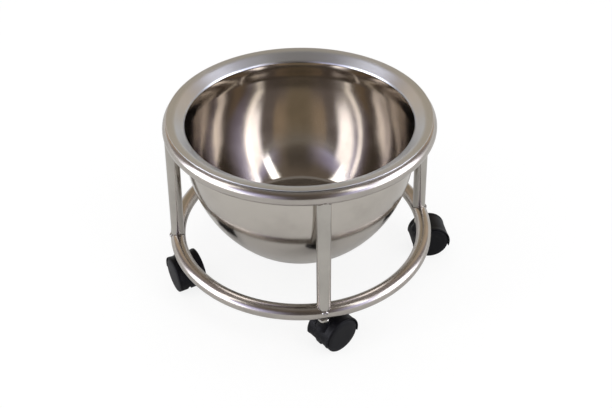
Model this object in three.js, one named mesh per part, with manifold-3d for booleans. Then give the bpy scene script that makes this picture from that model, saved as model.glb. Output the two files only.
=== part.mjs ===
// A hospital kick bucket: a loose stainless bowl that hangs by its flange in a low tubular
// stand on four twin-wheel swivel casters. Millimetres, +Z up, origin on the floor under
// the bowl's centre. The legs stand on -Y (front), +X (right), +Y (back) and -X (left).

import * as THREE from "three";
import { mergeVertices } from "three/addons/utils/BufferGeometryUtils.js";
import Module from "manifold-3d";

// Stand: two rings of one tube, joined by four legs of a thinner tube
const TUBE_DIAMETER = 22;
const RING_RADIUS = 185;
const HOOP_RADIUS = 175;
const HOOP_RISE = 187;
const LEG_DIAMETER = 19;
const LEG_WALL = 1.5;

// Bowl: pressed from one sheet, with an upright wall, a round belly and a flat base
const SHEET = 1.2;
const BOWL_DEPTH = 189;
const BASE_RADIUS = 100;
const BASE_FILLET = 12;
const BELLY_RADIUS = 193;
const HOOP_CLEARANCE = 3.8;
const FLANGE_OVERHANG = 5;
const FLANGE_CORNER = 3.5;
const FLANGE_SLOPE = THREE.MathUtils.degToRad(6);

// Caster: two wheels on one axle under a hood that swivels on a steel stem
const WHEEL_DIAMETER = 52;
const WHEEL_RIM = 3.5;
const WHEEL_ROUND = 1.8;
const WHEEL_DOME = 0.7;
const WHEEL_FACE = 3.6;
const CASTER_WIDTH = 42;
const CASTER_TRAIL = 17;
const HUB_DIAMETER = 12;
const AXLE_DIAMETER = 6;
const WEB_THICKNESS = 9;
const WEB_DROP = 12;
const HOOD_WALL = 1.3;
const BEAD_WIDTH = 5;
const BEAD_RISE = 0.5;
const BEAD_EDGE = 0.7;
const HOOD_BACK = THREE.MathUtils.degToRad(-14);
const HOOD_FRONT = THREE.MathUtils.degToRad(188);
const NECK_DIAMETER = 16;
const NECK_FOOT = 6;
const NECK_WALL = 2;
const NECK_RISE = 0.2;

// Stem and nut that fix a caster under the ring
const PIN_DIAMETER = 8;
const PIN_LENGTH = 23;
const COLLAR_DIAMETER = 13;
const COLLAR_HEIGHT = 1.2;
const THREAD_DIAMETER = 10;
const THREAD_LENGTH = 19;
const NUT_ACROSS_FLATS = 16;
const NUT_HEIGHT = 4;
const CLIP_HEIGHT = 1;
const CLIP_DEPTH = 0.7;
const CLIP_LIFT = 4;
const CLIP_MOUTH = THREE.MathUtils.degToRad(60);

// Clearances: between faces that rest on each other, round running pins, and round the wheels
const SEAT_GAP = 0.3;
const PIN_GAP = 0.1;
const BORE_GAP = 0.3;
const WHEEL_GAP = 1.4;
const WHEEL_SIDE_GAP = 0.4;

// Facets
const RING_STEPS = 48;
const TUBE_STEPS = 12;
const WHEEL_STEPS = 20;
const PIN_STEPS = 12;
const ARC_STEPS = 6;

// Where each leg stands, how far along the ring its caster is set from it, and the way that
// the caster trails in the rest pose
const STATIONS = [
  { name: "front", angle: 270, shift: 0, yaw: 30.5 },
  { name: "right", angle: 0, shift: -3.5, yaw: -3 },
  { name: "back", angle: 90, shift: 0, yaw: 150 },
  { name: "left", angle: 180, shift: 3.5, yaw: 290 },
];

// Heights and radii that follow from the sizes above
const tubeRadius = TUBE_DIAMETER / 2;
const wheelRadius = WHEEL_DIAMETER / 2;
const wheelCorner = wheelRadius / Math.cos(Math.PI / WHEEL_STEPS);
const wheelInside = PIN_DIAMETER / 2 + BORE_GAP + NECK_WALL + WHEEL_SIDE_GAP;
const hoodInside = wheelRadius + WHEEL_GAP;
const hoodRadius = hoodInside + HOOD_WALL;
const neckTop = wheelRadius + hoodRadius + NECK_RISE;
const collarBottom = neckTop + SEAT_GAP;
const nutBottom = collarBottom + COLLAR_HEIGHT + SEAT_GAP;
const ringHeight = nutBottom + NUT_HEIGHT + SEAT_GAP + tubeRadius;
const hoopHeight = ringHeight + HOOP_RISE;
const pinBottom = collarBottom - PIN_LENGTH;
const threadTop = collarBottom + COLLAR_HEIGHT + THREAD_LENGTH;
const clipBottom = pinBottom + CLIP_LIFT;

const polished = new THREE.MeshStandardMaterial({ color: 0xb4afa8, metalness: 1, roughness: 0.18 });
const satinTube = new THREE.MeshStandardMaterial({ color: 0xb0aaa2, metalness: 1, roughness: 0.3 });
const zincSteel = new THREE.MeshStandardMaterial({ color: 0xa9a79f, metalness: 1, roughness: 0.4 });
const hoodPlastic = new THREE.MeshStandardMaterial({ color: 0x1f1f21, metalness: 0, roughness: 0.45 });
const wheelPlastic = new THREE.MeshStandardMaterial({ color: 0x19191a, metalness: 0, roughness: 0.55 });

const wasm = await Module();
wasm.setup();

// A closed geometry as a solid that can be joined and cut
function solid(geometry) {
  const bare = geometry.index ? geometry.toNonIndexed() : geometry.clone();
  bare.deleteAttribute("normal");
  bare.deleteAttribute("uv");
  const merged = mergeVertices(bare, 1e-4);
  return new wasm.Manifold(
    new wasm.Mesh({
      numProp: 3,
      vertProperties: new Float32Array(merged.attributes.position.array),
      triVerts: new Uint32Array(merged.index.array),
    }),
  );
}

// A joined or cut solid back as a geometry
function shaped(result) {
  const mesh = result.getMesh();
  const geometry = new THREE.BufferGeometry();
  geometry.setAttribute("position", new THREE.BufferAttribute(mesh.vertProperties, 3));
  geometry.setIndex(new THREE.BufferAttribute(mesh.triVerts, 1));
  geometry.computeVertexNormals();
  return geometry;
}

// Points along an arc of a profile, both ends included
function arc(centreX, centreY, radius, from, to, steps) {
  return Array.from({ length: steps + 1 }, (_, i) => {
    const angle = from + ((to - from) * i) / steps;
    return new THREE.Vector2(centreX + radius * Math.cos(angle), centreY + radius * Math.sin(angle));
  });
}

// A profile revolved about the vertical axis
function turned(points, steps) {
  return new THREE.LatheGeometry(points, steps).rotateX(Math.PI / 2);
}

// A round bar along +Z from one height to another
function upright(radius, from, to, steps) {
  return new THREE.CylinderGeometry(radius, radius, to - from, steps)
    .rotateX(Math.PI / 2)
    .translate(0, 0, (from + to) / 2);
}

// A round bar along Y from one end to another, at the wheels' centre
function crosswise(radius, from, to, steps) {
  return new THREE.CylinderGeometry(radius, radius, to - from, steps)
    .translate(0, (from + to) / 2, 0)
    .translate(CASTER_TRAIL, 0, wheelRadius);
}

// A flat shape drawn in the caster's side view about the axle, given its width along Y
function sideways(shape, width, bevel) {
  const settings = { depth: width - 2 * bevel, steps: 1, curveSegments: ARC_STEPS };
  const edge = { bevelThickness: bevel, bevelSize: bevel, bevelOffset: -bevel, bevelSegments: 1 };
  return new THREE.ExtrudeGeometry(shape, { ...settings, ...edge, bevelEnabled: bevel > 0 })
    .translate(0, 0, bevel - width / 2)
    .rotateX(Math.PI / 2)
    .translate(CASTER_TRAIL, 0, wheelRadius);
}

function tubeRing(radius, tube) {
  return new THREE.TorusGeometry(radius, tube, TUBE_STEPS, RING_STEPS);
}

// The lower ring, with a blind bore from below for each caster's threaded stem
function bottomRing() {
  const boreRadius = THREAD_DIAMETER / 2 + BORE_GAP;
  const bore = upright(boreRadius, ringHeight - TUBE_DIAMETER, threadTop + BORE_GAP, PIN_STEPS);
  let ring = solid(tubeRing(RING_RADIUS, tubeRadius).translate(0, 0, ringHeight));
  for (const { angle, shift } of STATIONS) {
    const turn = THREE.MathUtils.degToRad(angle + shift);
    ring = ring.subtract(solid(bore.clone().translate(RING_RADIUS, 0, 0).rotateZ(turn)));
  }
  return shaped(ring);
}

// A leg on the +X side: a tube that leans outwards, coped to the hoop above and the ring below
function leg() {
  const foot = new THREE.Vector3(RING_RADIUS, 0, ringHeight);
  const head = new THREE.Vector3(HOOP_RADIUS, 0, hoopHeight);
  const along = head.clone().sub(foot);
  const lean = new THREE.Quaternion().setFromUnitVectors(
    new THREE.Vector3(0, 1, 0),
    along.clone().normalize(),
  );
  const middle = foot.clone().lerp(head, 0.5);
  const bar = (radius, length) =>
    solid(
      new THREE.CylinderGeometry(radius, radius, length, TUBE_STEPS)
        .applyQuaternion(lean)
        .translate(middle.x, middle.y, middle.z),
    );
  const outside = bar(LEG_DIAMETER / 2, along.length());
  const inside = bar(LEG_DIAMETER / 2 - LEG_WALL, along.length() + TUBE_DIAMETER);
  const cope = tubeRadius + SEAT_GAP;
  const hoop = solid(tubeRing(HOOP_RADIUS, cope).translate(0, 0, hoopHeight));
  const ring = solid(tubeRing(RING_RADIUS, cope).translate(0, 0, ringHeight));
  return shaped(outside.subtract(inside).subtract(hoop).subtract(ring));
}

// The bowl's profile along the middle of its sheet, from the base's centre to the flange's edge
function bowlLine() {
  const wall = HOOP_RADIUS - tubeRadius - HOOP_CLEARANCE - SHEET / 2;
  const seat = tubeRadius + SEAT_GAP + SHEET / 2;
  const slope = Math.tan(FLANGE_SLOPE);
  const flangeAt = (radius) =>
    hoopHeight + seat / Math.cos(FLANGE_SLOPE) + (radius - HOOP_RADIUS) * slope;

  const cornerEnd = wall + FLANGE_CORNER * (1 - Math.sin(FLANGE_SLOPE));
  const cornerHeight = flangeAt(cornerEnd) - FLANGE_CORNER * Math.cos(FLANGE_SLOPE);
  const base = flangeAt(cornerEnd) - BOWL_DEPTH;

  const bellyX = wall - BELLY_RADIUS;
  const bellyZ = base + Math.sqrt(BELLY_RADIUS ** 2 - (BASE_RADIUS - bellyX) ** 2);
  const filletZ = base + BASE_FILLET;
  const reach = BELLY_RADIUS - BASE_FILLET;
  const filletX = bellyX + Math.sqrt(reach ** 2 - (bellyZ - filletZ) ** 2);
  const join = Math.atan2(filletZ - bellyZ, filletX - bellyX);

  const edge = HOOP_RADIUS + FLANGE_OVERHANG;
  return [
    new THREE.Vector2(0, base),
    ...arc(filletX, filletZ, BASE_FILLET, -Math.PI / 2, join, 2),
    ...arc(bellyX, bellyZ, BELLY_RADIUS, join, 0, ARC_STEPS).slice(1),
    ...arc(wall + FLANGE_CORNER, cornerHeight, FLANGE_CORNER, Math.PI, Math.PI / 2 + FLANGE_SLOPE, 3),
    new THREE.Vector2(edge, flangeAt(edge)),
  ];
}

// A bent line given the sheet's thickness: out along its lower side, back along its upper side
function sheetProfile(line) {
  const side = (sign) =>
    line.map((point, i) => {
      const before = line[Math.max(i - 1, 0)];
      const after = line[Math.min(i + 1, line.length - 1)];
      const into = point.clone().sub(before).normalize();
      const out = after.clone().sub(point).normalize();
      const way = into.add(out).normalize();
      const normal = new THREE.Vector2(way.y, -way.x);
      return point.clone().addScaledVector(normal, (sign * SHEET) / 2);
    });
  return [...side(1), ...side(-1).reverse()];
}

function bowl() {
  return turned(sheetProfile(bowlLine()), RING_STEPS);
}

// The stem: a plain pin with a clip groove, a collar and a threaded end that screws into the ring
function stem() {
  const pin = PIN_DIAMETER / 2;
  const groove = pin - CLIP_DEPTH;
  const thread = THREAD_DIAMETER / 2;
  const chamfer = CLIP_DEPTH;
  const grooveTop = clipBottom + CLIP_HEIGHT + SEAT_GAP;
  const collarTop = collarBottom + COLLAR_HEIGHT;
  const outline = [
    [0, pinBottom],
    [pin - chamfer, pinBottom],
    [pin, pinBottom + chamfer],
    [pin, clipBottom - SEAT_GAP],
    [groove, clipBottom - SEAT_GAP],
    [groove, grooveTop],
    [pin, grooveTop],
    [pin, collarBottom],
    [COLLAR_DIAMETER / 2, collarBottom],
    [COLLAR_DIAMETER / 2, collarTop],
    [thread, collarTop],
    [thread, threadTop - chamfer],
    [thread - chamfer, threadTop],
    [0, threadTop],
  ];
  return turned(outline.map(([radius, height]) => new THREE.Vector2(radius, height)), PIN_STEPS);
}

// The spring clip that keeps the hood on the stem: a flat open ring
function clip() {
  const inner = PIN_DIAMETER / 2 - CLIP_DEPTH + BORE_GAP;
  const outer = PIN_DIAMETER / 2 + CLIP_DEPTH;
  const from = CLIP_MOUTH / 2;
  const to = 2 * Math.PI - from;
  const outline = [...arc(0, 0, outer, from, to, PIN_STEPS), ...arc(0, 0, inner, to, from, PIN_STEPS)];
  const flat = new THREE.Shape(outline);
  return new THREE.ExtrudeGeometry(flat, { depth: CLIP_HEIGHT, bevelEnabled: false })
    .translate(0, 0, clipBottom);
}

// The hexagonal nut welded under the ring, with a corner towards the front
function nut() {
  const halfSide = Math.PI / 6;
  const corner = NUT_ACROSS_FLATS / 2 / Math.cos(halfSide);
  const hexagon = new THREE.Shape(arc(0, 0, corner, halfSide, halfSide + 2 * Math.PI, 6).slice(0, 6));
  const boreRadius = THREAD_DIAMETER / 2 + BORE_GAP;
  hexagon.holes.push(new THREE.Path(arc(0, 0, boreRadius, 2 * Math.PI, 0, PIN_STEPS)));
  return new THREE.ExtrudeGeometry(hexagon, { depth: NUT_HEIGHT, bevelEnabled: false })
    .translate(0, 0, nutBottom);
}

// A part of a ring round the axle, from the hood's rear edge over the top to its front edge
function fenderShape(inner, outer) {
  const shape = new THREE.Shape();
  shape.absarc(0, 0, outer, HOOD_BACK, HOOD_FRONT, false);
  shape.absarc(0, 0, inner, HOOD_FRONT, HOOD_BACK, true);
  return shape;
}

// The hood: a fender over both wheels with a bead along each side, a web between the wheels
// that holds the axle, and a neck round the stem
function hood() {
  const fender = solid(sideways(fenderShape(hoodInside, hoodRadius), CASTER_WIDTH - 2 * BEAD_EDGE, 0));
  const bead = sideways(fenderShape(hoodInside, hoodRadius + BEAD_RISE), BEAD_WIDTH, BEAD_EDGE);
  const beadAt = (CASTER_WIDTH - BEAD_WIDTH) / 2;

  const webReach = hoodInside + HOOD_WALL / 2;
  const chord = Math.asin(WEB_DROP / webReach);
  const webShape = new THREE.Shape();
  webShape.absarc(0, 0, webReach, -chord, Math.PI + chord, false);
  const web = solid(sideways(webShape, WEB_THICKNESS, 0));

  const neck = solid(upright(NECK_DIAMETER / 2, wheelRadius - NECK_FOOT, neckTop, WHEEL_STEPS));
  const room = (wheelCorner + WHEEL_SIDE_GAP) / Math.cos(Math.PI / WHEEL_STEPS);
  const roomInside = wheelInside - WHEEL_SIDE_GAP;
  const boreRadius = AXLE_DIAMETER / 2 + BORE_GAP;
  return shaped(
    fender
      .add(solid(bead.clone().translate(0, beadAt, 0)))
      .add(solid(bead.clone().translate(0, -beadAt, 0)))
      .add(web)
      .add(neck)
      .subtract(solid(crosswise(room, roomInside, CASTER_WIDTH, WHEEL_STEPS)))
      .subtract(solid(crosswise(room, -CASTER_WIDTH, -roomInside, WHEEL_STEPS)))
      .subtract(solid(crosswise(boreRadius, -WEB_THICKNESS, WEB_THICKNESS, PIN_STEPS)))
      .subtract(solid(turned(socket(), PIN_STEPS))),
  );
}

// The bore that the stem turns in, with a wider ring where the clip springs out
function socket() {
  const bore = PIN_DIAMETER / 2 + BORE_GAP;
  const undercut = PIN_DIAMETER / 2 + CLIP_DEPTH + BORE_GAP;
  const outline = [
    [0, pinBottom - SEAT_GAP],
    [bore, pinBottom - SEAT_GAP],
    [bore, clipBottom - SEAT_GAP],
    [undercut, clipBottom - SEAT_GAP],
    [undercut, clipBottom + CLIP_HEIGHT + SEAT_GAP],
    [bore, clipBottom + CLIP_HEIGHT + SEAT_GAP],
    [bore, neckTop + COLLAR_HEIGHT],
    [0, neckTop + COLLAR_HEIGHT],
  ];
  return outline.map(([radius, height]) => new THREE.Vector2(radius, height));
}

// The axle, which carries both wheels through the web
function axle() {
  const end = CASTER_WIDTH / 2 - WHEEL_FACE - SEAT_GAP;
  return crosswise(AXLE_DIAMETER / 2, -end, end, PIN_STEPS);
}

// A wheel on the +Y side: a closed domed face, a tread rim and a hub that is open to the axle
function wheel() {
  const bore = AXLE_DIAMETER / 2 + PIN_GAP;
  const hub = HUB_DIAMETER / 2;
  const face = CASTER_WIDTH / 2;
  const faceBack = face - WHEEL_FACE;
  const hubEnd = WEB_THICKNESS / 2 + WHEEL_SIDE_GAP;
  const outline = [
    [0, faceBack],
    [bore, faceBack],
    [bore, hubEnd],
    [hub, hubEnd],
    [hub, faceBack],
    [wheelCorner - WHEEL_RIM, faceBack],
    [wheelCorner - WHEEL_RIM, wheelInside],
    [wheelCorner, wheelInside],
    [wheelCorner, face - WHEEL_ROUND],
    [wheelCorner - WHEEL_ROUND, face - WHEEL_DOME],
    [0, face],
  ];
  const points = outline.map(([radius, height]) => new THREE.Vector2(radius, height));
  return new THREE.LatheGeometry(points, WHEEL_STEPS, Math.PI / WHEEL_STEPS);
}

function named(name, geometry, material) {
  const mesh = new THREE.Mesh(geometry, material);
  mesh.name = name;
  return mesh;
}

const bucket = new THREE.Group();
bucket.add(named("bowl", bowl(), polished));

const hoopMesh = named("top_hoop", tubeRing(HOOP_RADIUS, tubeRadius), satinTube);
hoopMesh.position.z = hoopHeight;
bucket.add(hoopMesh);
bucket.add(named("bottom_ring", bottomRing(), satinTube));

const pieces = {
  leg: leg(),
  stem: stem(),
  clip: clip(),
  nut: nut(),
  hood: hood(),
  axle: axle(),
  wheel: wheel(),
};

for (const { name, angle, shift, yaw } of STATIONS) {
  const legMesh = named(`leg_${name}`, pieces.leg, satinTube);
  legMesh.rotation.z = THREE.MathUtils.degToRad(angle);
  bucket.add(legMesh);

  const turn = THREE.MathUtils.degToRad(angle + shift);
  const station = new THREE.Group();
  station.position.set(RING_RADIUS * Math.cos(turn), RING_RADIUS * Math.sin(turn), 0);
  station.add(named(`${name}_caster_nut`, pieces.nut, zincSteel));
  station.add(named(`${name}_caster_stem`, pieces.stem, zincSteel));
  station.add(named(`${name}_caster_clip`, pieces.clip, zincSteel));
  bucket.add(station);

  const caster = new THREE.Group();
  caster.position.copy(station.position);
  caster.rotation.z = THREE.MathUtils.degToRad(yaw);
  caster.add(named(`${name}_caster_hood`, pieces.hood, hoodPlastic));
  caster.add(named(`${name}_caster_axle`, pieces.axle, zincSteel));
  for (const side of ["left", "right"]) {
    const wheelMesh = named(`${name}_caster_${side}_wheel`, pieces.wheel, wheelPlastic);
    wheelMesh.position.set(CASTER_TRAIL, 0, wheelRadius);
    wheelMesh.rotation.z = side === "left" ? 0 : Math.PI;
    caster.add(wheelMesh);
  }
  bucket.add(caster);
}

export default bucket;
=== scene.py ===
# %% [markdown]
# # A surgical kick bucket
# A loose stainless bowl hangs by its flange in a low stand of bent tube, and the stand rolls on
# four twin-wheel casters. The CAD model already says where everything is and how it moves. This
# lesson models each piece again at full smoothness, gives it a finish made of shader nodes, and
# lights it like a small product studio.

# %% Load the frame
from math import atan2, cos, hypot, pi, radians, sin, tan

import bpy
from mathutils import Matrix, Vector


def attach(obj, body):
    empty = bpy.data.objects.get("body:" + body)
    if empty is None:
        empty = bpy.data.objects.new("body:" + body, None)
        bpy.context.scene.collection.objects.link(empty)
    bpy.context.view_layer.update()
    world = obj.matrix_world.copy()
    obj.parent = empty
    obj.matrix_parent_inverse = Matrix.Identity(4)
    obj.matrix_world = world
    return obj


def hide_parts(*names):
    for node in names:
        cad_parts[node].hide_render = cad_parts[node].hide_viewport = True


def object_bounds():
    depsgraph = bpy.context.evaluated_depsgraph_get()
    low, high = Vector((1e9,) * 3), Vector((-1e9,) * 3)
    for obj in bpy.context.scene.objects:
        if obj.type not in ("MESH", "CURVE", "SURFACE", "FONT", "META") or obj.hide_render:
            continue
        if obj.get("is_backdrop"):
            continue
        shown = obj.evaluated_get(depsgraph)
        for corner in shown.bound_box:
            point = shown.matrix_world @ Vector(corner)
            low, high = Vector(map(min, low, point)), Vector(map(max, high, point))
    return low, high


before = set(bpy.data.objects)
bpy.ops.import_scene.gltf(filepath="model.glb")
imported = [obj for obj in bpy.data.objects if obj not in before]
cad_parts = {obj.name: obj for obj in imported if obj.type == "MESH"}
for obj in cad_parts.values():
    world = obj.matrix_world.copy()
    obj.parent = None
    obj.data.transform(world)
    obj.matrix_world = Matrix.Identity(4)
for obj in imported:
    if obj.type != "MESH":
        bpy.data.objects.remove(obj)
cad_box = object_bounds()

# %% [markdown]
# ## Working habits
# Blender's operators act on whatever is selected, and the frame arrives selected, so every piece
# starts from a clean selection. Sizes are written in millimetres, as on a drawing, and MM turns
# them into Blender's metres. Each finished piece keeps its object at the origin, with its place
# in the mesh, so that its patterns stay put when it is exported.

# %% Helpers for starting and finishing a piece
MM = 0.001


def start_clean():
    """Leave edit mode and select nothing."""
    if bpy.context.object and bpy.context.object.mode != "OBJECT":
        bpy.ops.object.mode_set(mode="OBJECT")
    bpy.ops.object.select_all(action="DESELECT")


def pick(piece):
    """Make one object the selected and active one."""
    start_clean()
    piece.select_set(True)
    bpy.context.view_layer.objects.active = piece
    return piece


def edit(piece):
    """Open a piece in edit mode with everything selected."""
    pick(piece)
    bpy.ops.object.mode_set(mode="EDIT")
    bpy.ops.mesh.select_mode(type="VERT")
    bpy.ops.mesh.select_all(action="SELECT")


def close_up(piece, distance):
    """Merge points that lie on each other, drop faces without area, turn every face outwards."""
    edit(piece)
    bpy.ops.mesh.remove_doubles(threshold=distance * MM)
    bpy.ops.mesh.dissolve_degenerate(threshold=distance * MM)
    bpy.ops.mesh.normals_make_consistent(inside=False)
    bpy.ops.object.mode_set(mode="OBJECT")


def apply_modifier(piece, kind, **settings):
    """Add a modifier with these settings and apply it."""
    pick(piece)
    modifier = piece.modifiers.new(kind.lower(), kind)
    for name, value in settings.items():
        setattr(modifier, name, value)
    bpy.ops.object.modifier_apply(modifier=modifier.name)


def smooth(piece, angle=35):
    """Shade a piece smooth, with creases only where faces meet at a sharper angle."""
    pick(piece)
    bpy.ops.object.shade_smooth_by_angle(angle=radians(angle))


def belongs(piece, body, material, slot, *nodes):
    """Say what a piece rides on, what it is made of and which CAD nodes it stands for."""
    piece.data.materials.clear()
    piece.data.materials.append(material)
    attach(piece, body)
    if nodes:
        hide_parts(*nodes)


print("a millimetre is", MM, "Blender units")

# %% [markdown]
# ## Turning on the lathe
# The bowl, the stems and the wheels are all bodies of revolution. By hand you would draw half of
# the section as a bent line and use Spin. The helpers below do just that: they shrink a plane to
# one point, extrude the point along the section and spin the line once round the Z axis.

# %% Helpers that spin a drawn section
SAME_POINT = 0.01


def arc(centre, radius, start, end, steps):
    """Points of an arc, as (distance from axis, height), with its angles in degrees."""
    turns = [radians(start + (end - start) * i / steps) for i in range(steps + 1)]
    return [(centre[0] + radius * cos(a), centre[1] + radius * sin(a)) for a in turns]


def draw_line(name, section):
    """A bent line in the XZ plane, extruded point by point from a single point."""
    start_clean()
    bpy.ops.mesh.primitive_plane_add(size=MM)
    piece = bpy.context.object
    piece.name = name
    edit(piece)
    bpy.ops.mesh.merge(type="CENTER")
    here = Vector((0, 0, 0))
    for number, (radius, height) in enumerate(section):
        there = Vector((radius, 0, height)) * MM
        if number == 0:
            bpy.ops.transform.translate(value=there - here)
        else:
            bpy.ops.mesh.extrude_region_move(TRANSFORM_OT_translate={"value": there - here})
        here = there
    return piece


def spin_line(name, section, steps):
    """The bent line spun into a closed skin whose faces point outwards."""
    piece = draw_line(name, section)
    bpy.ops.mesh.select_all(action="SELECT")
    bpy.ops.mesh.spin(steps=steps, angle=2 * pi, center=(0, 0, 0), axis=(0, 0, 1))
    close_up(piece, SAME_POINT)
    return piece


print("points closer than", SAME_POINT, "mm are merged")

# %% [markdown]
# ## Finishes made of nodes
# In the shader editor you would add a node, type some of its values and drag wires to the others.
# The helpers below do the same: each takes numbers, colours or the outputs of other nodes and
# returns an output. So a finish reads from its coordinates to the inputs of its shader.

# %% Helpers for shader nodes


def feed(socket, value):
    """Give an input a number, a colour or another node's output."""
    if isinstance(value, bpy.types.NodeSocket):
        socket.id_data.links.new(value, socket)
    elif socket.type == "RGBA":
        socket.default_value = (*value, 1)
    else:
        socket.default_value = value


def add_node(tree, kind, **values):
    """A node whose inputs of these names, or else its settings, get these values."""
    node = tree.nodes.new("ShaderNode" + kind)
    for key, value in values.items():
        if key in node.inputs:
            feed(node.inputs[key], value)
        else:
            setattr(node, key, value)
    return node


def calc(operation, *values):
    """A Math node on outputs and plain numbers."""
    tree = next(v.id_data for v in values if isinstance(v, bpy.types.NodeSocket))
    node = add_node(tree, "Math", operation=operation)
    for socket, value in zip(node.inputs, values):
        feed(socket, value)
    return node.outputs[0]


def blend_to(fac, first, second):
    """A Mix node between two colours, by a factor."""
    node = add_node(fac.id_data, "Mix", data_type="RGBA")
    for number, value in ((0, fac), (6, first), (7, second)):
        feed(node.inputs[number], value)
    return node.outputs[2]


def noise(where, **settings):
    """A noise that is read at these coordinates."""
    return add_node(where.id_data, "TexNoise", Vector=where, **settings).outputs["Fac"]


def ramp(pattern, *stops):
    """Colours for a pattern, from stops of (position, colour)."""
    node = add_node(pattern.id_data, "ValToRGB", Fac=pattern)
    bar = node.color_ramp.elements
    while len(bar) < len(stops):
        bar.new(0.5)
    for element, (position, colour) in zip(bar, stops):
        element.position = position
        element.color = (*colour, 1)
    return node.outputs["Color"]


def span(pattern, low, high):
    """A pattern's 0..1 mapped onto low..high."""
    ends = {"To Min": low, "To Max": high}
    return add_node(pattern.id_data, "MapRange", Value=pattern, **ends).outputs["Result"]


def bump(height, **settings):
    """The normal of a surface with this pattern as its relief."""
    return add_node(height.id_data, "Bump", Height=height, **settings).outputs["Normal"]


def grey(value):
    """A colour without hue."""
    return (value, value, value)


def new_material(name):
    """A node material; returns it with its shader's inputs and the piece's own coordinates."""
    material = bpy.data.materials.new(name)
    material.use_nodes = True
    tree = material.node_tree
    shader = tree.nodes["Principled BSDF"].inputs
    return material, shader, add_node(tree, "TexCoord").outputs["Object"]


print("node helpers ready")

# %% [markdown]
# ## Finish 1: spun stainless sheet
# The bowl is pressed and then polished while it turns, so its fine scratches run round it in
# rings. A noise that is stretched round the axis gives those rings: it reads the distance from
# the axis and the height, but hardly the angle. A second, slow noise makes the sheet a little
# wavy, so that reflections wander as they do in thin metal, and a third leaves faint water marks.
# The flange is only brushed, so it is paler and rougher from where the height passes the throat.
# Fine scratches in rings also stretch a highlight across them, so the shader is anisotropic round
# the axis.

# %% Spun steel
FLANGE = {"From Min": 0.2588, "From Max": 0.2600}
FLANGE_TINT = (0.64, 0.66, 0.69)


def round_the_axis(place, stretch):
    """Coordinates (distance from axis, height, a little angle), so that noise runs in rings."""
    tree = place.id_data
    split = add_node(tree, "SeparateXYZ", Vector=place).outputs
    x, y = split["X"], split["Y"]
    distance = calc("SQRT", calc("ADD", calc("MULTIPLY", x, x), calc("MULTIPLY", y, y)))
    turn = calc("MULTIPLY", calc("ARCTAN2", y, x), stretch)
    return add_node(tree, "CombineXYZ", X=distance, Y=split["Z"], Z=turn).outputs["Vector"]


def spun_steel(name, dull, shiny, ring_bump, flange_satin):
    """Stainless sheet polished on the lathe: rings of fine scratches, slow waves, water marks."""
    material, shader, place = new_material(name)
    tree = material.node_tree
    split = add_node(tree, "SeparateXYZ", Vector=place).outputs
    scratch = noise(round_the_axis(place, 0.004), Scale=700.0, Detail=4.0, Roughness=0.7)
    mark = noise(place, Scale=16.0, Detail=6.0, Roughness=0.62)
    wave = noise(place, Scale=9.0, Detail=1.0)

    on_flange = add_node(tree, "MapRange", Value=split["Z"], **FLANGE).outputs["Result"]
    tint = ramp(
        mark,
        (0.30, (0.465, 0.432, 0.390)),
        (0.52, (0.528, 0.492, 0.446)),
        (0.80, (0.560, 0.524, 0.476)),
    )
    feed(shader["Base Color"], blend_to(on_flange, tint, FLANGE_TINT))

    haze = ramp(mark, (0.45, grey(0)), (0.75, grey(0.06)))
    gloss = calc("ADD", span(scratch, shiny, dull), haze)
    feed(shader["Roughness"], calc("MULTIPLY_ADD", on_flange, flange_satin, gloss))

    fine = bump(scratch, Strength=ring_bump, Distance=0.00005)
    feed(shader["Normal"], bump(wave, Strength=0.12, Distance=0.004, Normal=fine))

    minus_y = calc("MULTIPLY", split["Y"], -1.0)
    brushed_way = add_node(tree, "CombineXYZ", X=minus_y, Y=split["X"])
    feed(shader["Tangent"], brushed_way.outputs["Vector"])
    feed(shader["Anisotropic"], 0.75)
    feed(shader["Anisotropic Rotation"], 0.25)
    feed(shader["Metallic"], 1.0)
    return material


bowl_steel = spun_steel(
    "spun_stainless", dull=0.155, shiny=0.06, ring_bump=0.10, flange_satin=0.24
)
print("made", bowl_steel.name)

# %% [markdown]
# ## The bowl
# One disc of sheet, pressed to a flat base, a round belly, an upright wall and a wide flange.
# Drawing the flange out pulls the wall below it in to a slight throat, which curls every reflection
# near the rim. From the throat the sheet turns outwards in a tight bend, rises as a flat cone,
# follows the hoop round and ends nearly level. The section below is its outer side, with a few
# points on the cone, so that smooth shading keeps it flat.

# %% Draw the bowl's section
HOOP = (175.0, 259.0)
BASE, BASE_FLAT, BASE_EDGE, CORNER = 80.076, 60.0, 95.10, 12.6
WALL, BELLY, BELLY_HEIGHT, BELLY_START = 160.2, 193.6, 220.14, -44.78
THROAT, THROAT_LOW, THROAT_STEPS, BEND = 3.0, 230.0, 20, 4.0
CONE, LEVEL, OVER_HOOP, RIM = 35, 6, 11.2, 180.063
rise = radians(CONE)

# Where the cone meets the round over the hoop, and how high the throat reaches
meet = (HOOP[0] - OVER_HOOP * sin(rise), HOOP[1] + OVER_HOOP * cos(rise))
neck_radius = WALL - THROAT
throat_high = meet[1] - (meet[0] - neck_radius) * tan(rise) - BEND * tan(pi / 4 - rise / 2)

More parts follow.
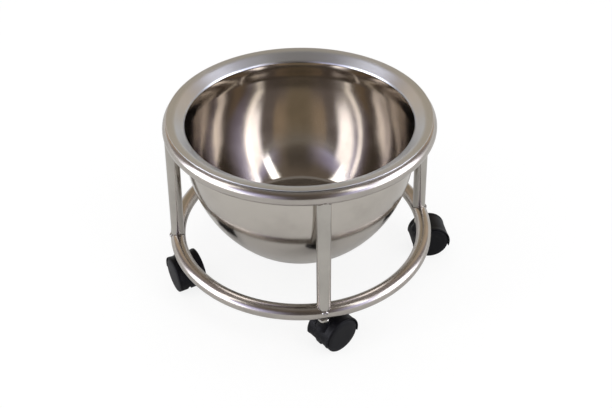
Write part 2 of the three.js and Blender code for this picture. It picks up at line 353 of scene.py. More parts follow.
bowl_section = [(0, BASE), (BASE_FLAT, BASE)]
bowl_section += arc((BASE_EDGE, BASE + CORNER), CORNER, -90, BELLY_START, 8)
bowl_section += arc((WALL - BELLY, BELLY_HEIGHT), BELLY, BELLY_START, 0, 40)[1:]
for step in range(1, THROAT_STEPS + 1):
    share = step / THROAT_STEPS
    height = THROAT_LOW + (throat_high - THROAT_LOW) * share
    bowl_section.append((WALL - THROAT * (1 - cos(pi * share)) / 2, height))
bowl_section += arc((neck_radius + BEND, throat_high), BEND, 180, 90 + CONE, 10)[1:]
cone_start = bowl_section[-1]
for share in (0.08, 0.5, 0.92):
    bowl_section.append(tuple(a + (b - a) * share for a, b in zip(cone_start, meet)))
bowl_section += arc(HOOP, OVER_HOOP, 90 + CONE, 90 + LEVEL, 10)
crest = bowl_section[-1]
bowl_section.append((RIM, crest[1] + (RIM - crest[0]) * tan(radians(LEVEL))))
print("bowl drawn with", len(bowl_section), "points")

# %% [markdown]
# ## The bowl's sheet
# The section is spun open, as a skin without thickness. Solidify then gives it the sheet's
# thickness towards the inside, which is easier to keep even than drawing both sides. A small
# bevel rounds the flange's cut edge.

# %% Spin and thicken the bowl
SHEET, CUT_EDGE = 1.2, 0.4
BOWL_STEPS = 192

bowl = spin_line("bowl_shell", bowl_section, BOWL_STEPS)
bottom = min(bowl.data.polygons, key=lambda face: face.center.z)
if bottom.normal.z > 0:
    edit(bowl)
    bpy.ops.mesh.flip_normals()
    bpy.ops.object.mode_set(mode="OBJECT")
apply_modifier(bowl, "SOLIDIFY", thickness=SHEET * MM, offset=-1.0, use_even_offset=True)
apply_modifier(
    bowl, "BEVEL", width=CUT_EDGE * MM, segments=3, limit_method="ANGLE", angle_limit=radians(60)
)
smooth(bowl)
belongs(bowl, "bowl", bowl_steel, "polished_steel", "bowl")
print("bowl:", len(bowl.data.polygons), "faces,", [round(v / MM, 1) for v in bowl.dimensions])

# %% [markdown]
# ## Finish 2: polished tube
# The rings are drawn tube, bent and buffed along their length, with long soft streaks along the
# bend. The legs come from a thinner, brighter tube, so they get the same finish with less roughness
# and with streaks that run up and down.

# %% Tube finishes


def tube_steel(name, colour, dull, shiny, upright):
    """Buffed stainless tube, streaked along its length, with a darker bloom here and there."""
    material, shader, place = new_material(name)
    if upright:
        along = add_node(material.node_tree, "Mapping", Vector=place, Scale=(900.0, 900.0, 12.0))
        streak = noise(along.outputs["Vector"], Scale=1.0, Detail=3.0, Roughness=0.6)
    else:
        streak = noise(round_the_axis(place, 0.006), Scale=900.0, Detail=3.0, Roughness=0.6)
    bloom = noise(place, Scale=22.0, Detail=4.0, Roughness=0.6)
    darker = tuple(c * 0.88 for c in colour)
    feed(shader["Base Color"], ramp(bloom, (0.35, darker), (0.6, colour)))
    feed(shader["Roughness"], span(streak, shiny, dull))
    feed(shader["Normal"], bump(streak, Strength=0.25, Distance=0.00005))
    feed(shader["Metallic"], 1.0)
    return material


RING_TINT, LEG_TINT = (0.475, 0.440, 0.402), (0.48, 0.455, 0.416)
ring_steel = tube_steel("buffed_tube", RING_TINT, dull=0.29, shiny=0.16, upright=False)
leg_steel = tube_steel("brushed_tube", LEG_TINT, dull=0.20, shiny=0.09, upright=True)
print("made", ring_steel.name, leg_steel.name)

# %% [markdown]
# ## The hoop and the ring
# Each is one length of tube bent to a circle and butt-welded. A torus is the natural start. Its
# weld is ground flush on the real ring, and what is left of it is a band that stands a hair
# proud, so one ring of the torus's points is fattened a little, on the far side.

# %% Bend both rings
TUBE = 11.0
RING = (185.0, 72.0)
AROUND, ACROSS = 216, 40
SEAM_AT, SEAM_PROUD = radians(118), 0.16


def select_points(piece, test):
    """In edit mode, select the points whose place passes a test."""
    bpy.ops.mesh.select_all(action="DESELECT")
    bpy.ops.object.mode_set(mode="OBJECT")
    for point in piece.data.vertices:
        point.select = test(point.co)
    bpy.ops.object.mode_set(mode="EDIT")


def settle(piece):
    """Put the object's place into its mesh."""
    pick(piece)
    bpy.ops.object.transform_apply(location=True, rotation=True, scale=True)
    return piece


def add_torus(radius, height, tube, around, across):
    """A torus round the Z axis, in millimetres."""
    start_clean()
    bpy.ops.mesh.primitive_torus_add(
        major_radius=radius * MM,
        minor_radius=tube * MM,
        major_segments=around,
        minor_segments=across,
        location=(0, 0, height * MM),
    )
    return settle(bpy.context.object)


def bent_ring(name, radius, height):
    """A ring of tube with the trace of its weld."""
    piece = add_torus(radius, height, TUBE, AROUND, ACROSS)
    piece.name = name
    edit(piece)
    half = 1.1 * pi / AROUND
    select_points(piece, lambda p: abs(atan2(p.y, p.x) - SEAM_AT) < half)
    bpy.ops.transform.shrink_fatten(value=SEAM_PROUD * MM)
    bpy.ops.object.mode_set(mode="OBJECT")
    smooth(piece)
    return piece


hoop = bent_ring("hoop_tube", *HOOP)
belongs(hoop, "stand", ring_steel, "tube_steel", "top_hoop")

ring = bent_ring("ring_tube", *RING)
belongs(ring, "stand", ring_steel, "tube_steel", "bottom_ring")
print("rings:", len(hoop.data.polygons), len(ring.data.polygons), "faces")

# %% [markdown]
# ## The legs
# A leg is a straight tube whose two ends are coped, cut to the round of the rings, so that it
# sits on them like a saddle. An open cylinder gets its wall from Solidify, leans outwards by
# three degrees, and two tori, a hair larger than the rings, cut its ends.

# %% Cope one leg and copy it round
LEG, LEG_WALL = 9.5, 1.5
COPE_GAP = 0.05
STATIONS = {"front": 270, "right": 0, "back": 90, "left": 180}


def cut(piece, tool, operation="DIFFERENCE"):
    """Cut with another solid, or keep what both share; the other solid is used up."""
    apply_modifier(piece, "BOOLEAN", object=tool, operation=operation, solver="EXACT")
    bpy.data.objects.remove(tool)


def copy_of(piece, name, place):
    """A copy with its own mesh, moved by a matrix that goes straight into the mesh."""
    twin = bpy.data.objects.new(name, piece.data.copy())
    bpy.context.scene.collection.objects.link(twin)
    twin.data.transform(place)
    return twin


lean = atan2(RING[0] - HOOP[0], HOOP[1] - RING[1])
leg_length = hypot(RING[0] - HOOP[0], HOOP[1] - RING[1])

start_clean()
bpy.ops.mesh.primitive_cylinder_add(
    vertices=72,
    radius=LEG * MM,
    depth=leg_length * MM,
    end_fill_type="NOTHING",
    location=((HOOP[0] + RING[0]) / 2 * MM, 0, (HOOP[1] + RING[1]) / 2 * MM),
    rotation=(0, -lean, 0),
)
leg = bpy.context.object
leg.name = "leg_pattern"
settle(leg)
apply_modifier(leg, "SOLIDIFY", thickness=LEG_WALL * MM, offset=-1.0)
for radius, height in (HOOP, RING):
    cut(leg, add_torus(radius, height, TUBE + COPE_GAP, 288, 64))
smooth(leg)

for name, turn in STATIONS.items():
    twin = copy_of(leg, f"leg_tube_{name}", Matrix.Rotation(radians(turn), 4, "Z"))
    belongs(twin, "stand", leg_steel, "tube_steel", f"leg_{name}")
print("leg:", len(leg.data.polygons), "faces, leaning", round(lean * 180 / pi, 2), "degrees")

# %% [markdown]
# ## Finish 3: weld and heat tint
# A weld on stainless is a rippled silver lump, and the heat beside it leaves straw and brown
# colours. A noise breaks the metal into silver and tinted spots. The seam gets a dark version
# and the lump that ends it gets a bright one.

# %% Weld metal


def weld_metal(name, *colours):
    """Rough spotted metal in three colours, from tinted to silver."""
    material, shader, place = new_material(name)
    spots = noise(place, Scale=420.0, Detail=3.0, Roughness=0.6)
    feed(shader["Base Color"], ramp(spots, *zip((0.34, 0.50, 0.64), colours)))
    feed(shader["Roughness"], span(spots, 0.22, 0.55))
    feed(shader["Normal"], bump(spots, Strength=0.5, Distance=0.0004))
    feed(shader["Metallic"], 1.0)
    return material


seam_steel = weld_metal("weld_seam", (0.04, 0.032, 0.026), (0.13, 0.105, 0.085), (0.46, 0.44, 0.41))
lump_steel = weld_metal("weld_lump", (0.10, 0.08, 0.065), (0.48, 0.46, 0.43), (0.74, 0.73, 0.71))
print("made", seam_steel.name, lump_steel.name)

# %% [markdown]
# ## The weld beads
# The bead follows the saddle line where a leg meets a ring. That line already exists as the cut
# edge of the leg, so all else is deleted from a copy of the leg, and what is left is turned into a
# curve. The curve's round bevel is the bead. It is drawn in a few runs, so the ends of each run are
# capped. Subdividing the bead and displacing its skin by a cloudy texture gives it ripples.

# %% Lay the beads along the cut edges
HEAD_BEAD, FOOT_BEAD = 0.65, 0.7


def ripple(piece, grain, strength):
    """Displace a skin by a small cloudy texture."""
    clouds = bpy.data.textures.new(piece.name + "_ripple", "CLOUDS")
    clouds.noise_scale = grain * MM
    relief = {"texture": clouds, "texture_coords": "LOCAL", "mid_level": 0.5}
    apply_modifier(piece, "DISPLACE", strength=strength * MM, **relief)
    smooth(piece, 60)


def saddle_bead(name, radius, height, thickness):
    """Copy the leg's outer cut edge at one ring and make it a rippled bead."""
    pattern = copy_of(leg, "saddle_edge", Matrix.Identity(4))
    edit(pattern)
    foot = Vector((RING[0], 0, RING[1])) * MM
    along = Vector((HOOP[0] - RING[0], 0, HOOP[1] - RING[1])).normalized()

    def on_outer_edge(p):
        off_axis = (p - foot) - along * (p - foot).dot(along)
        to_tube = hypot(hypot(p.x, p.y) - radius * MM, p.z - height * MM)
        return off_axis.length > (LEG - 0.1) * MM and to_tube < (TUBE + 0.12) * MM

    select_points(pattern, on_outer_edge)
    bpy.ops.mesh.select_all(action="INVERT")
    bpy.ops.mesh.delete(type="VERT")
    bpy.ops.mesh.select_all(action="SELECT")
    bpy.ops.mesh.delete(type="ONLY_FACE")
    bpy.ops.object.mode_set(mode="OBJECT")
    pick(pattern)
    bpy.ops.object.convert(target="CURVE")
    pattern.data.bevel_depth = thickness * MM
    pattern.data.bevel_resolution = 3
    pattern.data.use_fill_caps = True
    print(name, "is drawn in", len(pattern.data.splines), "runs")
    bpy.ops.object.convert(target="MESH")
    pattern.name = name
    close_up(pattern, distance=0.0005)
    apply_modifier(pattern, "SUBSURF", levels=1, render_levels=1)
    ripple(pattern, grain=2.2, strength=0.5)
    return pattern


head_bead = saddle_bead("bead_head", *HOOP, HEAD_BEAD)
foot_bead = saddle_bead("bead_foot", *RING, FOOT_BEAD)
print("beads:", len(head_bead.data.polygons), len(foot_bead.data.polygons), "faces")

# %% [markdown]
# ## The last drop of weld
# Where the seam ends, outside at the foot, the welder's last drop stays as a flat lump: a ball,
# stretched along the seam, pressed flat in edit mode, tilted to lie in the corner and displaced
# like the bead. Beads and drop are then copied to all four legs.

# %% Press the drop and copy the welds round
DROP, DROP_TILT = 4.4, -24
DROP_OUT, DROP_UP = 10.2, 4.9


def last_drop(name, radius, height):
    """A flat rippled lump in the corner between a leg's foot and the ring."""
    start_clean()
    bpy.ops.mesh.primitive_uv_sphere_add(segments=48, ring_count=24, radius=DROP * MM)
    piece = bpy.context.object
    piece.name = name
    edit(piece)
    bpy.ops.transform.resize(value=(0.42, 1.0, 0.68))
    select_points(piece, lambda p: p.x > 0.9 * MM)
    bpy.ops.transform.resize(value=(0.8, 0.92, 0.92))
    bpy.ops.object.mode_set(mode="OBJECT")
    corner = Vector((radius + DROP_OUT, 0, height + DROP_UP)) * MM
    piece.data.transform(Matrix.Rotation(radians(DROP_TILT), 4, "Y"))
    piece.data.transform(Matrix.Translation(corner))
    ripple(piece, grain=2.6, strength=0.9)
    return piece


drop = last_drop("bead_drop", *RING)
for name, turn in STATIONS.items():
    place = Matrix.Rotation(radians(turn), 4, "Z")
    for bead, where, metal in (
        (head_bead, "head", seam_steel),
        (foot_bead, "foot", seam_steel),
        (drop, "drop", lump_steel),
    ):
        twin = copy_of(bead, f"weld_{where}_{name}", place)
        belongs(twin, "stand", metal, "tube_steel")
print("drop:", len(drop.data.polygons), "faces")
for pattern in (leg, head_bead, foot_bead, drop):
    bpy.data.objects.remove(pattern)

# %% [markdown]
# ## Finish 4: plated steel and black nylon
# The nuts and stems are zinc plated: a soft grey with a faint cloudy tint. Hoods and wheels are
# moulded in black nylon with a fine spark-eroded texture, which a small noise bump gives. Handling
# rubs the texture smoother in places, so the roughness wanders slowly.

# %% Zinc and nylon


def plated(name):
    """Zinc plate with a cloudy tint."""
    material, shader, place = new_material(name)
    cloud = noise(place, Scale=180.0, Detail=3.0)
    tint = ramp(cloud, (0.35, (0.50, 0.48, 0.44)), (0.65, (0.68, 0.66, 0.61)))
    feed(shader["Base Color"], tint)
    feed(shader["Roughness"], span(cloud, 0.25, 0.45))
    feed(shader["Metallic"], 1.0)
    return material


def nylon(name, colour, dull, shiny, grain):
    """Moulded nylon with a fine grain, rubbed smoother in places."""
    material, shader, place = new_material(name)
    rub = noise(place, Scale=38.0, Detail=3.0)
    spark = noise(place, Scale=2600.0, Detail=2.0)
    rubbed = tuple(c * 1.5 for c in colour)
    feed(shader["Base Color"], ramp(rub, (0.35, colour), (0.75, rubbed)))
    feed(shader["Roughness"], span(rub, shiny, dull))
    feed(shader["Normal"], bump(spark, Strength=grain, Distance=0.0001))
    feed(shader["Specular IOR Level"], 0.14)
    return material


HOOD_BLACK, WHEEL_BLACK = (0.0045, 0.0045, 0.006), (0.005, 0.005, 0.0065)
zinc = plated("zinc_plate")
hood_nylon = nylon("hood_nylon", HOOD_BLACK, dull=0.50, shiny=0.36, grain=0.25)
wheel_nylon = nylon("wheel_nylon", WHEEL_BLACK, dull=0.56, shiny=0.44, grain=0.18)
print("made", zinc.name, hood_nylon.name, wheel_nylon.name)

# %% [markdown]
# ## The nut
# A hexagon nut has its corners chamfered to a cone, which leaves a curved line on each flat. The
# hexagon is a cylinder with six sides, and intersecting it with a bevelled disc makes the
# chamfer. Then it is bored, and a fine bevel breaks its edges.

# %% Make one nut
NUT_FLATS, NUT_BOTTOM, NUT_HEIGHT = 16.0, 56.7, 4.0
NUT_CORNERS, NUT_CHAMFER, NUT_BORE = 9.15, 0.85, 5.2


def round_bar(radius, centre, length, across=False, sides=72, turn=0):
    """A bar in millimetres, upright or across the caster, round or with a few sides."""
    start_clean()
    bpy.ops.mesh.primitive_cylinder_add(
        vertices=sides,
        radius=radius * MM,
        depth=length * MM,
        location=Vector(centre) * MM,
        rotation=(radians(90) if across else 0, 0, radians(turn)),
    )
    return settle(bpy.context.object)


nut_middle = (0, 0, NUT_BOTTOM + NUT_HEIGHT / 2)
nut = round_bar(NUT_FLATS / 2 / cos(pi / 6), nut_middle, NUT_HEIGHT, sides=6, turn=30)
nut.name = "nut_pattern"

disc = round_bar(NUT_CORNERS, nut_middle, NUT_HEIGHT)
edit(disc)
bpy.ops.mesh.select_mode(type="EDGE")
bpy.ops.mesh.select_all(action="DESELECT")
bpy.ops.object.mode_set(mode="OBJECT")
for edge in disc.data.edges:
    ends = [disc.data.vertices[i].co.z for i in edge.vertices]
    edge.select = abs(ends[0] - ends[1]) < 0.1 * MM
bpy.ops.object.mode_set(mode="EDIT")
bpy.ops.mesh.bevel(offset=NUT_CHAMFER * MM, offset_type="OFFSET", segments=1)
bpy.ops.object.mode_set(mode="OBJECT")
cut(nut, disc, "INTERSECT")
cut(nut, round_bar(NUT_BORE, (0, 0, 58), 30, sides=48))
apply_modifier(
    nut, "BEVEL", width=0.12 * MM, segments=2, limit_method="ANGLE", angle_limit=radians(25)
)
close_up(nut, distance=0.002)
smooth(nut, 20)
print("nut:", len(nut.data.polygons), "faces")

# %% [markdown]
# ## The stem
# The stem below the nut is turned: a pin with a groove for its spring clip, a collar, and a
# threaded end. At this size plain grooves read as a thread, and they keep the section simple.

# %% Turn one stem
PIN, THREAD, THREAD_ROOT, PITCH = 4.0, 5.0, 4.3, 1.5

# The pin's end with its groove, the pin and the collar, the thread, and its rounded end
stem_section = [(0, 32.2), (3.3, 32.2), (PIN, 32.9), (PIN, 35.9), (3.3, 35.9), (3.3, 37.5)]
stem_section += [(PIN, 37.5), (PIN, 55.2), (6.2, 55.2), (6.5, 55.45), (6.5, 56.15), (6.2, 56.4)]
stem_section.append((THREAD, 56.4))
for groove in range(12):
    height = 56.5 + groove * PITCH
    stem_section += [(THREAD, height + 0.1), (THREAD_ROOT, height + PITCH / 2)]
stem_section += [(THREAD, 74.6), (THREAD_ROOT, 75.4), (0, 75.4)]
stem = spin_line("stem_pattern", stem_section, 48)
smooth(stem, 25)
print("stem:", len(stem.data.polygons), "faces")

# %% [markdown]
# ## The wheels
# Each wheel is moulded with a closed, slightly domed face, a rounded shoulder and a plain tread.
# Its back is open, with a hub and ribs, as on the real ones. The section is spun upright and laid
# on its side, with its face towards +Y. Ribs are thin plates between hub and rim.

# %% Turn one wheel
FACE, WEB, BORE, HUB, TREAD = 21.0, 17.4, 3.1, 6.0, 26.0
RIBS, RIB_SIZE, RIB_AT = 6, (17.2, 1.4, 10.4), (14.3, 0, 12.3)

# Bore and hub, the inside of the rim, its edge, the tread, the shoulder, a groove and the face
wheel_section = [(0, WEB), (BORE, WEB), (BORE, 4.95), (5.7, 4.95), (HUB, 5.25), (HUB, 16.6)]
wheel_section += [(6.8, WEB), (21.9, WEB), (22.6, 16.7), (22.6, 7.1), (23.0, 6.75), (25.3, 6.75)]
wheel_section += arc((25.2, 7.5), 0.8, -60, 0, 3)
wheel_section += [(TREAD, 12.0), (TREAD, 19.0)]
wheel_section += arc((24.2, 19.0), 1.8, 0, 72, 7)
wheel_section += [(24.5, 20.70), (24.2, 20.52), (23.9, 20.66)]
wheel_section += [(17.0, 20.87), (8.0, 20.97), (0, FACE)]
wheel = spin_line("wheel_pattern", wheel_section, 96)

for number in range(RIBS):
    start_clean()
    bpy.ops.mesh.primitive_cube_add(size=1, location=[v * MM for v in RIB_AT])
    rib = bpy.context.object
    rib.scale = [v * MM for v in RIB_SIZE]
    settle(rib)
    apply_modifier(rib, "BEVEL", width=0.35 * MM, segments=2)
    rib.data.transform(Matrix.Rotation(radians(360 / RIBS * number + 15), 4, "Z"))
    pick(wheel)
    rib.select_set(True)
    bpy.ops.object.join()
smooth(wheel, 32)
wheel.data.transform(Matrix.Rotation(radians(-90), 4, "X"))
print("wheel:", len(wheel.data.polygons), "faces")

# %% [markdown]
# ## The hood
# The hood is one moulding: a fender over both wheels with a bead along each edge, a web between
# the wheels and a neck round the stem. Separate simple solids are cut to size, joined, and then
# melted into one skin by a voxel remesh. Smoothing that skin rounds every inner corner, just as
# the radius of a mould does. The fender comes first: its section is drawn, filled, and spun about
# the axle from the back of the wheels to their front.

# %% Spin the fender
AXLE_AT = (17.0, 0, 26.0)
AXLE = Vector(AXLE_AT) * MM
HOOD_BACK, HOOD_FRONT = -14, 188


def stem_room():
    """What the stem needs to turn in."""
    return round_bar(4.4, (0, 0, 46), 28.4)


# Half of the fender's cross-section, from the middle of its outside to the middle of its inside
half_section = [(28.45, 0), (28.45, 12.5), (28.6, 15.0), (28.95, 17.0), (29.15, 18.5)]
half_section += [(29.1, 19.7), (28.75, 20.6), (28.2, 20.95), (27.7, 20.95), (27.4, 20.6)]
fender_section = half_section + [(r, -y) for r, y in reversed(half_section[1:])]
fender = draw_line("hood_pattern", fender_section)
bpy.ops.mesh.select_all(action="SELECT")
bpy.ops.mesh.edge_face_add()
bpy.ops.object.mode_set(mode="OBJECT")
fender.data.transform(Matrix.Rotation(radians(-90), 4, "X"))
fender.data.transform(Matrix.Rotation(radians(-HOOD_BACK), 4, "Y"))
fender.data.transform(Matrix.Translation(AXLE))
edit(fender)
sweep = radians(HOOD_FRONT - HOOD_BACK)
bpy.ops.mesh.spin(steps=72, angle=sweep, center=AXLE, axis=(0, 1, 0))
close_up(fender, SAME_POINT)
cut(fender, stem_room())
print("fender spans", [round(v / MM, 1) for v in fender.dimensions])

# %% [markdown]
# ## Web, neck and moulding
# The web is a disc between the wheels, cut off below, with holes for axle and stem. The neck is
# turned, and both wheels' room is cut out of it. Then the three solids become one moulding.

# %% Mould one hood
WEB_THICK, WEB_BOTTOM = 9, 14
WHEEL_ROOM, WHEEL_MIDDLE = 27.2, 24.3
VOXEL = 0.5

web = round_bar(28.0, AXLE_AT, WEB_THICK, across=True)
edit(web)
bpy.ops.mesh.bisect(
    plane_co=(0, 0, WEB_BOTTOM * MM), plane_no=(0, 0, -1), clear_outer=True, use_fill=True
)
bpy.ops.object.mode_set(mode="OBJECT")
cut(web, round_bar(3.4, AXLE_AT, 20, across=True))
cut(web, stem_room())

neck_section = [(0, 20), (8.0, 20), (8.0, 38), (12.0, 42), (10.6, 45), (9.4, 47.5), (8.6, 50)]
neck_section += [(8.1, 52.5), (8.0, 54.4), (7.6, 54.8), (0, 54.8)]
neck = spin_line("neck_pattern", neck_section, 72)
for side in (-1, 1):
    beside = (AXLE_AT[0], WHEEL_MIDDLE * side, AXLE_AT[2])
    cut(neck, round_bar(WHEEL_ROOM, beside, 36, across=True, sides=120))
cut(neck, stem_room())

hood = pick(fender)
web.select_set(True)
neck.select_set(True)
bpy.ops.object.join()
apply_modifier(hood, "REMESH", mode="VOXEL", voxel_size=VOXEL * MM, use_smooth_shade=True)
apply_modifier(hood, "SMOOTH", factor=0.5, iterations=5)
smooth(hood, 60)
print("hood:", len(hood.data.polygons), "faces,", [round(v / MM, 1) for v in hood.dimensions])

# %% [markdown]
# ## Set the casters
# Each caster stands under its leg or a little beside it, and trails its own way, as a pushed
# stand leaves them. Nut and stem stay with the ring; the hood turns on the stem, and each wheel
# turns on the hood's axle. Axles and spring clips sit deep inside, so their CAD shapes stay and
# only get the zinc finish.

# %% Copy the pieces to the four stations
SHIFT = {"front": 0, "right": -3.5, "back": 0, "left": 3.5}
YAW = {"front": 30.5, "right": -3, "back": 150, "left": 290}

for name, angle in STATIONS.items():
    turn = radians(angle + SHIFT[name])
    under = Matrix.Translation((RING[0] * MM * cos(turn), RING[0] * MM * sin(turn), 0))
    caster = under @ Matrix.Rotation(radians(YAW[name]), 4, "Z")
    node = f"{name}_caster"

    belongs(copy_of(nut, f"nut_{name}", under), "stand", zinc, "plated_steel", f"{node}_nut")
    belongs(copy_of(stem, f"stem_{name}", under), "stand", zinc, "plated_steel", f"{node}_stem")
    belongs(copy_of(hood, f"hood_{name}", caster), node, hood_nylon, "hood_plastic", f"{node}_hood")
    for side, half_turn in (("left", 0), ("right", pi)):
        place = caster @ Matrix.Translation(AXLE) @ Matrix.Rotation(half_turn, 4, "Z")
        twin = copy_of(wheel, f"wheel_{name}_{side}", place)
        belongs(twin, f"{name}_{side}_wheel", wheel_nylon, "wheel_plastic", f"{node}_{side}_wheel")
    for inner in ("clip", "axle"):
        shape = bpy.data.objects[f"{node}_{inner}"]
        shape.data.materials.clear()
        shape.data.materials.append(zinc)

for pattern in (nut, stem, wheel, hood):
    bpy.data.objects.remove(pattern)
print("casters at", ", ".join(STATIONS))

# %% [markdown]
# ## The floor
# The floor is pale and nearly white to the camera, yet it keeps a faint shadow, so it mixes a
# little plain diffuse into a white glow. Polished metal shows the same pale floor with more of its
# real shadow.

# %% Lay the floor
MATT, FAINT, GLOW, IN_METAL = 0.85, 0.2, 0.84, 0.15

start_clean()
bpy.ops.mesh.primitive_plane_add(size=14, location=(0, 0, 0))
floor = bpy.context.object
floor.name = "studio_floor"
floor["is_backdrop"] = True


def mix_shaders(fac, first, second):
    """One shader or another, by a factor."""
    node = add_node(fac.id_data, "MixShader")
    for socket_in, value in zip(node.inputs, (fac, first, second)):
        feed(socket_in, value)
    return node.outputs[0]


paper = bpy.data.materials.new("white_paper")
paper.use_nodes = True
tree = paper.node_tree
tree.nodes.clear()
rays = add_node(tree, "LightPath").outputs
lens = calc("MAXIMUM", rays["Is Camera Ray"], rays["Is Transmission Ray"])
shown = calc("MAXIMUM", lens, calc("MULTIPLY", rays["Is Glossy Ray"], IN_METAL))
white = add_node(tree, "AddShader")
feed(white.inputs[0], add_node(tree, "BsdfDiffuse", Color=grey(FAINT)).outputs[0])
feed(white.inputs[1], add_node(tree, "Emission", Color=grey(1), Strength=GLOW).outputs[0])
matt = add_node(tree, "BsdfDiffuse", Color=grey(MATT))
out = add_node(tree, "OutputMaterial")
feed(out.inputs["Surface"], mix_shaders(shown, matt.outputs[0], white.outputs[0]))
floor.data.materials.append(paper)
print("floor of", paper.name)

# %% [markdown]
# ## The room that metal shows
# Metal shows what stands round it. For reflections the world is a dim, warm room with white paper
# at the horizon and two tall windows, which draw the bright upright bands on the inside of the
# bowl. Each part of the room is a mask, made of smooth steps over the height of a ray or its
# bearing, and a colour that the mask lays over what is already there.

# %% Masks for the room
world = bpy.data.worlds.new("studio")
bpy.context.scene.world = world
world.use_nodes = True
tree = world.node_tree
tree.nodes.clear()


def step_up(value, low, high):
    """Zero below low, one above high, smooth between."""
    ends = {"From Min": low, "From Max": high, "interpolation_type": "SMOOTHSTEP"}
    return add_node(value.id_data, "MapRange", Value=value, **ends).outputs["Result"]


def step_down(value, low, high):
    """One below low, zero above high, smooth between."""
    return calc("SUBTRACT", 1.0, step_up(value, low, high))


def window_edge(value, low, high):
    """A smooth step over a span of degrees, falling where low is the greater one."""
    if low < high:
        return step_up(value, radians(low), radians(high))
    return step_down(value, radians(high), radians(low))


def times(first, *others):
    """Where all of these masks hold."""
    for other in others:
        first = calc("MULTIPLY", first, other)
    return first


FRONT = radians(9)
ray = add_node(tree, "TexCoord").outputs["Generated"]
split = add_node(tree, "SeparateXYZ", Vector=ray).outputs
up = split["Z"]
bearing = calc("ARCTAN2", split["X"], calc("MULTIPLY", split["Y"], -1.0))
ahead = calc("COSINE", calc("ADD", bearing, FRONT))
behind = calc("MULTIPLY", ahead, -1.0)
side_on = calc("ABSOLUTE", calc("SINE", calc("ADD", bearing, FRONT)))
print("world of", world.name)

# %% [markdown]
# ## Walls and windows
# The walls come first and the windows over them. A window is a pane with a straight rear edge and
# a front edge that leans, and a cool glow spills from it low down in front.

# %% Build the room
PAPER, ROOM, CEILING = (0.94, 0.95, 0.96), (0.34, 0.30, 0.30), (0.27, 0.25, 0.235)
BACK_WALL, PANEL = (0.46, 0.385, 0.285), (0.72, 0.58, 0.44)
DIM_FRONT, DARKEST = (0.175, 0.14, 0.11), (0.105, 0.086, 0.07)
PANE = (4.7, 4.75, 5.2)
SPILLS = (((0.58, 0.70), (0.54, 0.50, 0.74)), ((0.36, 0.58), (1.7, 1.72, 2.5)))
# Rear edge, end of the glow, front edge and lean of each window, in degrees
WINDOWS = (
    ((-112, -100), (-12, -72), (-38, -53), 62),
    ((97, 84), (10, 58), (37, 51), -30),
)

# White paper round the horizon, which gives way to a dim warm room
above = step_up(up, 0.14, 0.30)
room = blend_to(above, PAPER, ROOM)
room = blend_to(times(above, step_up(behind, 0.70, 0.95)), room, BACK_WALL)
# The room in front is darker, down to the floor, and darkest straight ahead
room = blend_to(times(step_up(ahead, 0.1, 0.6), step_up(up, -0.02, 0.08)), room, DIM_FRONT)
room = blend_to(times(step_up(ahead, 0.91, 0.985), step_down(up, 0.66, 0.80)), room, DARKEST)
# Warm panels behind, to both sides of the middle
panel = times(step_up(side_on, 0.30, 0.62), step_down(side_on, 0.76, 0.84))
panel = times(panel, step_up(behind, 0.25, 0.45), step_down(up, 0.62, 0.86))
room = blend_to(times(panel, step_up(up, 0.16, 0.30)), room, PANEL)
# Two tall windows
for rear, glow_end, front, lean_degrees in WINDOWS:
    side = window_edge(bearing, *rear)
    near = times(side, window_edge(bearing, *glow_end))
    for height, colour in SPILLS:
        room = blend_to(times(near, step_down(up, *height)), room, colour)
    leaning = calc("ADD", bearing, calc("MULTIPLY", up, radians(lean_degrees)))
    pane = times(side, step_down(up, 0.62, 0.70), window_edge(leaning, *front))
    room = blend_to(pane, room, PANE)
# A grey ceiling straight above
room = blend_to(step_up(up, 0.86, 0.97), room, CEILING)
print("room with", len(WINDOWS), "windows")

# %% [markdown]
# ## Soft light for the rest
# For every matt surface the world is a plain soft light, stronger from above. The camera itself
# sees plain white behind the floor. The Light Path node tells these rays apart.

# %% Light the world
SOFT_LEVEL, SOFT_SLOPE = 0.42, 0.5

rays = add_node(tree, "LightPath").outputs
room = blend_to(rays["Is Camera Ray"], room, grey(1))
around = add_node(tree, "Background", Color=room, Strength=1.0)
level = calc("ADD", calc("MULTIPLY", up, SOFT_SLOPE), SOFT_LEVEL)
soft = add_node(tree, "Background", Color=grey(1), Strength=level)
shown = calc("MAXIMUM", rays["Is Camera Ray"], rays["Is Glossy Ray"])
shown = calc("MAXIMUM", shown, rays["Is Transmission Ray"])
out = add_node(tree, "OutputWorld")
feed(out.inputs["Surface"], mix_shaders(shown, soft.outputs[0], around.outputs[0]))
print("world made of", len(tree.nodes), "nodes")

# %% [markdown]
# ## Two softboxes
# Tall, weak softboxes to the left and right only fill: they give the black plastic and the welds
# a soft highlight, and leave the level of the light to the world.

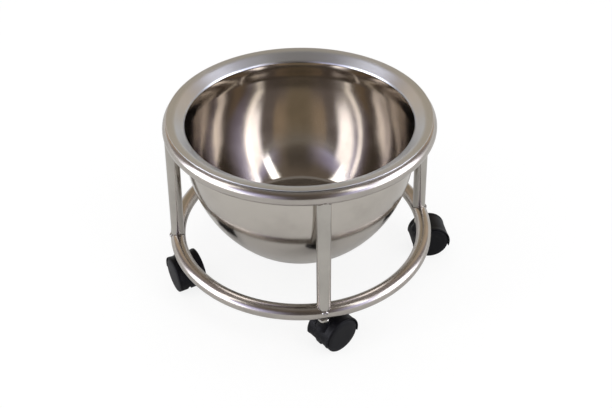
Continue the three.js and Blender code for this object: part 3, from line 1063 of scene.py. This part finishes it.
# %% Hang the softboxes
RIM_MIDDLE = Vector((0, 0, 0.25))


def softbox(name, bearing, distance, height, size, watts):
    """An area light at a bearing in degrees from the front, aimed at the bowl's rim."""
    away = radians(bearing)
    place = Vector((sin(away) * distance, -cos(away) * distance, height))
    light = bpy.data.lights.new(name, "AREA")
    light.shape = "RECTANGLE"
    light.size, light.size_y = size
    light.energy = watts
    lamp = bpy.data.objects.new(name, light)
    bpy.context.scene.collection.objects.link(lamp)
    aim = (RIM_MIDDLE - place).to_track_quat("-Z", "Y")
    lamp.matrix_world = Matrix.Translation(place) @ aim.to_matrix().to_4x4()
    return lamp


stand = {"distance": 1.9, "height": 1.7, "watts": 6}
left_box = softbox("softbox_left", bearing=-77, size=(0.5, 1.4), **stand)
right_box = softbox("softbox_right", bearing=39, size=(0.4, 1.4), **stand)
print("softboxes of", left_box.data.energy, "and", right_box.data.energy, "watts")

# %% [markdown]
# ## The camera
# It stands where the picture was taken: a little left of the front leg, about 39 degrees above
# the floor. No shift and no depth of field, so that other views stay sharp.

# %% Place the camera
CAMERA_AT = (-0.13843, -0.87401, 0.8179)
HEADING, TILT, ROLL = -9.51, 51.25, -0.39

view = bpy.data.cameras.new("photo_camera")
view.lens = 44.80
view.sensor_width = 36
view.clip_start = 0.05
camera = bpy.data.objects.new("photo_camera", view)
bpy.context.scene.collection.objects.link(camera)
aim = Matrix.Rotation(radians(HEADING), 4, "Z") @ Matrix.Rotation(radians(TILT), 4, "X")
aim = aim @ Matrix.Rotation(radians(ROLL), 4, "Z")
camera.matrix_world = Matrix.Translation(CAMERA_AT) @ aim
bpy.context.scene.camera = camera
bpy.context.scene.view_settings.view_transform = "Standard"
print("camera at", [round(v, 3) for v in camera.location])

# %% [markdown]
# ## Measure and finish
# The looks must not outgrow the CAD model, so both boxes are written down side by side.

# %% Write the sizes and finish
visual_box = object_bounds()
for label, (low, high) in (("cad", cad_box), ("visual", visual_box)):
    print(label, [round((b - a) / MM, 2) for a, b in zip(low, high)])
